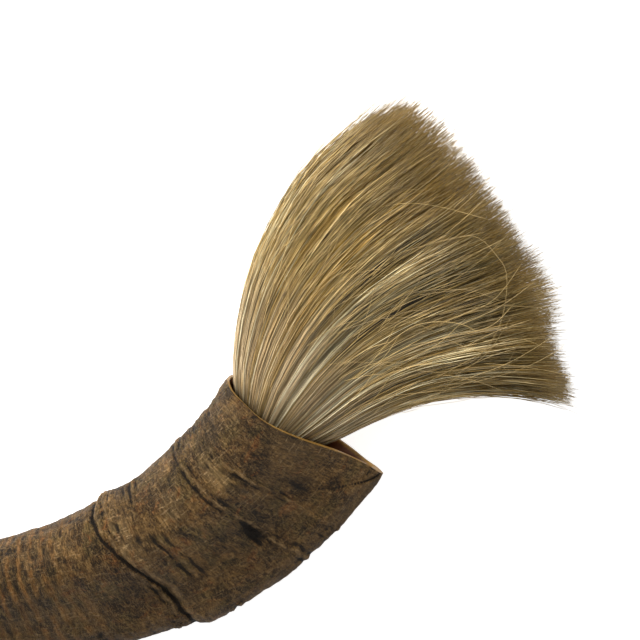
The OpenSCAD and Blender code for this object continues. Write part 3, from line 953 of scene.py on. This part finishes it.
# %% Colours of the locks
COLOURS = ("straw", "tan", "golden", "pale", "ash", "dark")
MISMATCHED_SHARE = 0.42  # of the hairs, whose colour is drawn without regard to their lock
FRIZZ_SHARE = 0.40  # of the tips on the keel side
lock_q, lock_r = lock_places.T
upper = np.clip(lock_r * 2.0, 0, 1)
weights = np.stack([
    0.9 + 1.2 * bell((lock_q + 0.75) / 0.3),
    0.8 + 0.6 * bell((lock_q - 0.5) / 0.5),
    0.25 + 3.2 * upper * bell((lock_q + 0.42) / 0.07) + 0.4 * bell((lock_q - 0.5) / 0.30),
    0.20 + 0.8 * upper * bell((lock_q - 0.02) / 0.10) + 0.6 * upper * bell((lock_q - 0.33) / 0.10),
    0.14 + 1.8 * upper * bell((lock_q - 0.09) / 0.16) + 0.15 * bell((lock_q - 0.6) / 0.3),
    0.05 + 4.5 * upper * bell((lock_q - 0.10) / 0.055) + 1.2 * upper * bell((lock_q + 0.20) / 0.035),
])
weights /= weights.sum(0)
lock_colour = (rng.random(LOCKS)[None] > np.cumsum(weights, 0)).sum(0)
hair_colour = lock_colour[lock_of]
mismatched = rng.random(len(hair_colour)) < MISMATCHED_SHARE
others = rng.choice(len(COLOURS), len(hair_colour), p=(0.30, 0.29, 0.16, 0.13, 0.08, 0.04))
hair_colour = np.where(mismatched, others, hair_colour)
# The outline of the round back is soft and light, and so are the tips on the keel side
soft_edge = is_shell & (hair_places[:, 0] < -0.72) & (hair_colour >= COLOURS.index("ash"))
frizz = ~is_shell & (hair_places[:, 0] > 0.35) & (rng.random(len(hair_colour)) < FRIZZ_SHARE)
hair_colour = np.where(soft_edge | frizz, COLOURS.index("pale"), hair_colour)
on_top = is_shell & (hair_places[:, 1] > 0.3)
# Each streak on the upper side is (colour, q at its middle, width in q, share of the hairs there)
streaks = [
    ("dark", 0.085, 0.020, 0.8), ("ash", 0.04, 0.05, 0.4),
    ("dark", -0.215, 0.014, 0.8), ("golden", -0.43, 0.05, 0.7),
]
for colour, middle, width, share in streaks:
    chance = share * bell((hair_places[:, 0] - middle) / width)
    streaked = on_top & (rng.random(len(hair_colour)) < chance)
    hair_colour = np.where(streaked, COLOURS.index(colour), hair_colour)
steady = np.where(on_top & (hair_colour == COLOURS.index("dark")), 0.35, 1.0)[:, None]
print("hairs of each colour:", dict(zip(COLOURS, np.bincount(hair_colour, minlength=6).tolist())))


# %% Paths of the hairs
def hair_lines(index, points, first):
    """The points along these hairs, from t = first to their tips, and t at each point."""
    count = len(index)
    lock = lock_of[index]
    q0, r0 = hair_places[index].T
    uneven = 0.014 + lock_reach[lock] + rng.normal(0, 0.012, count) - rng.exponential(0.022, count)
    uneven = uneven + 0.022 * bell((q0 + 0.72) / 0.14) + 0.038 * bell((q0 - 0.32) / 0.18)
    short = 0.34 + 0.28 * bell((q0 + 0.75) / 0.4)  # more of the hairs on the round back are short
    broken = np.where(rng.random(count) < short, rng.uniform(0.45, 0.96, count), 1.0)
    length = full_length(q0, r0) * (1 + uneven) * (broken if first < 0 else 1.0)
    t = first + (length[:, None] - first) * np.linspace(0, 1, points) ** 0.9
    u = np.clip(t, 0, 1.2)
    lean = (lock_pull[lock] * 0.4)[:, None] * u**1.5
    # A hair sinks among the others on its way, or comes up from among them
    rise = rng.uniform(-0.16, 0.06, (count, 1)) * (first < 0)
    q = q0[:, None] + (lock_places[lock, 0] - q0)[:, None] * lean
    r = r0[:, None] + (lock_places[lock, 1] - r0)[:, None] * lean
    back = (q0 < 0)[:, None]
    full = np.where(back, 0.11 * np.clip((u - 0.15) / 0.45, 0, 1), 0.095 * u**3)
    gathered = 0.935 + full  # the mouth holds the hair a little in
    q, r = q * (gathered + rise * (u - 0.45)), r * (gathered + rise * (u - 0.45))
    room_q, room_r = (np.sqrt(np.maximum(0.1, 1 - x**2))[:, None] for x in (q0, r0))  # less at the outline
    drift = steady[index] * rng.normal(0, 0.055, (count, 1)) * u**1.3
    q = q + room_q * (lock_bend[lock, 0][:, None] * u**1.7 + drift)
    r = r + room_r * (lock_bend[lock, 1][:, None] * u**1.7 + rng.normal(0, 0.030, (count, 1)) * u**2)
    phase, pitch = rng.random((count, 1)) * 2 * np.pi, rng.random((count, 1))
    wave = 0.016 * np.sin(phase + (4 + 9 * pitch) * u) * u
    lines = hair_path(q + wave, r + 1.4 * wave, t)
    lines[..., 2] = np.maximum(lines[..., 2], DESK_CLEARANCE)
    return lines, t


lock_pull = rng.random(LOCKS)
lock_reach = rng.normal(0, 0.010, LOCKS)
lock_bend = rng.normal(0, 1, (LOCKS, 2)) * (0.030, 0.030)


# %% From paths to hairs
def hair_mesh(name, lines, radii):
    """Closed three-sided tubes along lines of points: lines is hair, point, place."""
    count, points = lines.shape[:2]
    along = np.gradient(lines, axis=1)
    along /= np.linalg.norm(along, axis=2, keepdims=True)
    side = np.cross(along, (0.0, 0.0, 1.0))
    side /= np.maximum(np.linalg.norm(side, axis=2, keepdims=True), 1e-6)
    lift = np.cross(side, along)
    roll = rng.random((count, 1, 1)) * 2 * np.pi
    corners = []
    for k in range(3):
        angle = roll + 2 * np.pi * k / 3
        corners.append(lines + radii[..., None] * (np.cos(angle) * side + np.sin(angle) * lift))
    vertices = np.stack(corners, 2).reshape(-1, 3)
    h, p, k = np.meshgrid(np.arange(count), np.arange(points - 1), np.arange(3), indexing="ij")
    base = (h * points + p) * 3
    a, b = base + k, base + (k + 1) % 3
    walls = np.stack([a, b, b + 3, a + 3], -1).reshape(-1, 4)
    root = np.arange(count)[:, None] * points * 3 + np.array([2, 1, 0])
    tip = (np.arange(count)[:, None] * points + points - 1) * 3 + np.array([0, 1, 2])
    return mesh_object(name, vertices, [walls, root, tip])


def grow(name, index, points, first, width):
    """Grows these hairs as one mesh, with the values that their material reads."""
    lines, t = hair_lines(index, points, first)
    thinning = np.clip((t[:, -1:] - t) / 0.22, 0.18, 1) ** 0.8
    radii = width / 2 * thinning * rng.uniform(0.75, 1.25, (len(index), 1))
    piece = hair_mesh(name, lines, radii)
    tint = np.clip(rng.normal(0.5, 0.20, len(index)) + 0.14 * lock_tint[lock_of[index]], 0.02, 1)
    give_values(piece, "along", np.repeat(t, 3, axis=1).ravel())
    give_values(piece, "tint", np.repeat(tint, points * 3))
    return piece


lock_tint = rng.normal(0, 1, LOCKS)
HAIR_WIDTH = 0.29
SHELL_POINTS, SHELL_START = 12, -0.06  # of each hair's line: a shell hair starts inside the mouth
TIP_POINTS, TIP_START = 5, 0.66
hair_finishes = {
    "straw": hair_material("straw_hair", "#cab48e", "#bfa672", "#937740"),
    "tan": hair_material("tan_hair", "#b0976f", "#a38a54", "#806733"),
    "golden": hair_material("golden_hair", "#b0935e", "#ae8e4c", "#876a2f"),
    "pale": hair_material("pale_hair", "#e0d3b0", "#dccea2", "#ac9562"),
    "ash": hair_material("ash_hair", "#a39474", "#8d7f5a", "#756539"),
    "dark": hair_material("dark_hair", "#b29d76", "#2f271a", "#84703e"),
}
for number, colour in enumerate(COLOURS):
    alike = hair_colour == number
    upper_side = hair_places[:, 1] > 0
    parts = {
        "upper": (alike & is_shell & upper_side, SHELL_POINTS, SHELL_START),
        "under": (alike & is_shell & ~upper_side, SHELL_POINTS, SHELL_START),
        "tips": (alike & ~is_shell, TIP_POINTS, TIP_START),
    }
    for part, (chosen, points, first) in parts.items():
        piece = grow(f"{colour}_{part}", np.flatnonzero(chosen), points, first, HAIR_WIDTH)
        piece.data.materials.append(hair_finishes[colour])
        bend_with_tuft(piece)
        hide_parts("belly_hair" if part == "tips" else "coat_hair")
        print(f"{piece.name}: {chosen.sum()} hairs, {len(piece.data.polygons)} faces")

# %% [markdown]
# ## Stray hairs
#
# Some long hairs have worked loose and lie across the tuft. They catch the eye, so the longest are
# laid one by one, each through a few places (q, t) just above the surface. The rest are scattered.


# %% Stray hairs
def smooth_through(stops, count):
    """A smooth run of values through some stops, evenly spaced along them."""
    stops = np.asarray(stops, float)
    ends = np.concatenate([[2 * stops[0] - stops[1]], stops, [2 * stops[-1] - stops[-2]]])
    place = np.linspace(0, len(stops) - 1, count)
    k = np.minimum(place.astype(int), len(stops) - 2)
    x = (place - k)[:, None]
    a, b, c, d = ends[k], ends[k + 1], ends[k + 2], ends[k + 3]
    return 0.5 * (2 * b + (c - a) * x + (2 * a - 5 * b + 4 * c - d) * x**2 + (3 * b - a - 3 * c + d) * x**3)


STRAY_POINTS, STRAY_RADIUS = 22, 0.075
SCATTERED_STRAYS = 150
UPPER_STRAYS = 110  # counted from the first: the others are on the underside
long_strays = [
    [(-0.20, 0.72), (-0.11, 0.86), (0.06, 0.90), (0.20, 0.90), (0.45, 0.82), (0.64, 0.71)],
    [(0.10, 0.19), (0.32, 0.29), (0.53, 0.39), (0.68, 0.51), (0.72, 0.66), (0.77, 0.86)],
    [(-0.22, 0.48), (-0.15, 0.55), (-0.09, 0.59), (-0.02, 0.64)],
    [(0.30, 0.35), (0.26, 0.52), (0.36, 0.66), (0.50, 0.74)],
    [(-0.35, 0.30), (-0.30, 0.52), (-0.42, 0.70), (-0.40, 0.88)],
    [(0.05, 0.40), (0.20, 0.55), (0.15, 0.72), (0.34, 0.86)],
    [(0.45, 0.60), (0.60, 0.70), (0.58, 0.85), (0.70, 0.97)],
]
stray_stops = [smooth_through(stops, STRAY_POINTS) for stops in long_strays]
for _ in range(SCATTERED_STRAYS):
    q, t, slope = rng.uniform(-0.95, 0.95), rng.uniform(0.1, 0.72), rng.normal(0, 0.15)
    reach = rng.uniform(0.14, 0.42)
    loose = [(q, t), (q + 0.4 * slope, t + reach / 2), (q + slope + rng.normal(0, 0.05), t + reach)]
    stray_stops.append(smooth_through(loose, STRAY_POINTS))
stray_stops = np.clip(np.array(stray_stops), (-0.98, 0.0), (0.98, 1.01))
stray_q, stray_t = stray_stops[..., 0], stray_stops[..., 1]
side_of_tuft = np.where(np.arange(len(stray_q)) < UPPER_STRAYS, 1.0, -1.0)[:, None]
above = 1.0 + 0.02 * np.sin(np.pi * np.linspace(0, 1, STRAY_POINTS))[None]
stray_r = side_of_tuft * above * np.sqrt(np.maximum(0, 1 - stray_q**2))
stray_taper = np.clip(np.linspace(4, 0.4, STRAY_POINTS), 0.4, 1)
stray_radii = STRAY_RADIUS * stray_taper[None].repeat(len(stray_q), 0)
stray_lines = hair_path(stray_q, stray_r, stray_t)
stray_lines[..., 2] = np.maximum(stray_lines[..., 2], DESK_CLEARANCE)
stray_hairs = hair_mesh("stray_hairs", stray_lines, stray_radii)
give_values(stray_hairs, "along", np.full(stray_q.size * 3, 0.5))
give_values(stray_hairs, "tint", np.repeat(rng.uniform(0.4, 1.0, len(stray_q)), STRAY_POINTS * 3))
stray_hairs.data.materials.append(hair_material("stray_hair", "#b59a66", "#c0a56f", "#b59a66"))
bend_with_tuft(stray_hairs)
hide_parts("coat_hair")
print(f"stray_hairs: {len(stray_q)} hairs")

# %% Sizes, then finish
model_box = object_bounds()
for name, corners in (("cad", cad_box), ("visual", model_box)):
    print(name, [[round(c / MM, 1) for c in corner] for corner in corners])
